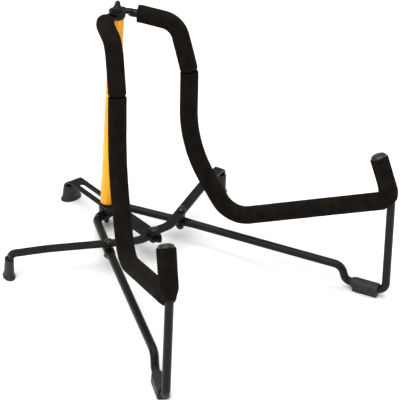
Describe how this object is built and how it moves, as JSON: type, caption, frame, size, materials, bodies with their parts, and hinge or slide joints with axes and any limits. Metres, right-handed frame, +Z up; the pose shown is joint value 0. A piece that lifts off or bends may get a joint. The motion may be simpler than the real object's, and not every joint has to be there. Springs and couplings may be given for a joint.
{
  "type": "folding guitar stand",
  "caption": "Low folding guitar stand with padded cradle legs, a centre post and flat folding bars on rubber feet.",
  "frame": {"origin": "on the floor, at the middle of the open stand's footprint box", "axes": "+X to the right leg, +Y from the cradle arms back to the rear foot, +Z up"},
  "size_m": [0.288, 0.3235, 0.2477],
  "materials": {
    "black_paint": "satin black paint on steel rod and flat bar",
    "yellow_paint": "glossy yellow-orange paint",
    "foam": "matt black foam rubber sleeve",
    "rubber": "dark grey moulded rubber",
    "black_plastic": "glossy black moulded plastic",
    "hardware": "blackened steel fasteners"
  },
  "bodies": {
    "post": {"post_tube": "yellow_paint", "post_lower_plug": "black_plastic", "post_top_cap": "black_plastic", "hub_bolt": "hardware", "hub_lower_nut": "hardware", "hub_lower_bush": "hardware", "hub_washer": "hardware", "cap_nut": "hardware"},
    "left_leg": {"left_front_tube": "black_paint", "left_back_tube": "black_paint", "left_upper_foam": "foam", "left_long_foam": "foam", "left_yoke_foam": "foam", "left_yoke_cap": "black_plastic", "left_front_foot": "rubber", "left_pivot_rivet": "hardware", "left_pivot_spacer": "hardware", "left_pivot_nut": "hardware"},
    "right_leg": {"right_front_tube": "black_paint", "right_back_tube": "black_paint", "right_upper_foam": "foam", "right_long_foam": "foam", "right_yoke_foam": "foam", "right_yoke_cap": "black_plastic", "right_front_foot": "rubber", "right_pivot_rivet": "hardware", "right_pivot_spacer": "hardware", "right_pivot_nut": "hardware"},
    "left_bar": {"left_side_bar": "black_paint", "left_side_foot": "rubber"},
    "right_bar": {"right_side_bar": "black_paint", "right_side_foot": "rubber", "centre_rivet": "hardware"},
    "rear_bar": {"rear_bar": "black_paint", "rear_foot": "rubber", "centre_shank": "hardware", "centre_nut": "hardware"}
  },
  "joints": [
    {"name": "left_leg_fold", "type": "hinge", "parent": "post", "child": "left_leg", "pos_m": [0, 0.09691, 0.1], "axis": [0, 0, 1], "range_deg": [0, 18]},
    {"name": "right_leg_fold", "type": "hinge", "parent": "post", "child": "right_leg", "pos_m": [0, 0.09691, 0.1], "axis": [0, 0, 1], "range_deg": [-18, 0]},
    {"name": "left_bar_pivot", "type": "hinge", "parent": "left_leg", "child": "left_bar", "pos_m": [-0.04573, 0.03747, 0.02605], "axis": [0, 0, 1], "range_deg": [-60.95, 0]},
    {"name": "right_bar_pivot", "type": "hinge", "parent": "right_leg", "child": "right_bar", "pos_m": [0.04573, 0.03747, 0.02885], "axis": [0, 0, 1], "range_deg": [0, 60.95]},
    {"name": "rear_bar_slide", "type": "slide", "parent": "post", "child": "rear_bar", "axis": [0, -1, 0], "range_m": [0, 0.03909]}
  ],
  "couplings": [
    {"joint": "right_leg_fold", "follows": "left_leg_fold", "ratio": -1},
    {"joint": "left_bar_pivot", "follows": "left_leg_fold", "ratio": -3.3859},
    {"joint": "right_bar_pivot", "follows": "left_leg_fold", "ratio": 3.3859},
    {"joint": "rear_bar_slide", "follows": "left_leg_fold", "m_per_rad": 0.12443}
  ]
}
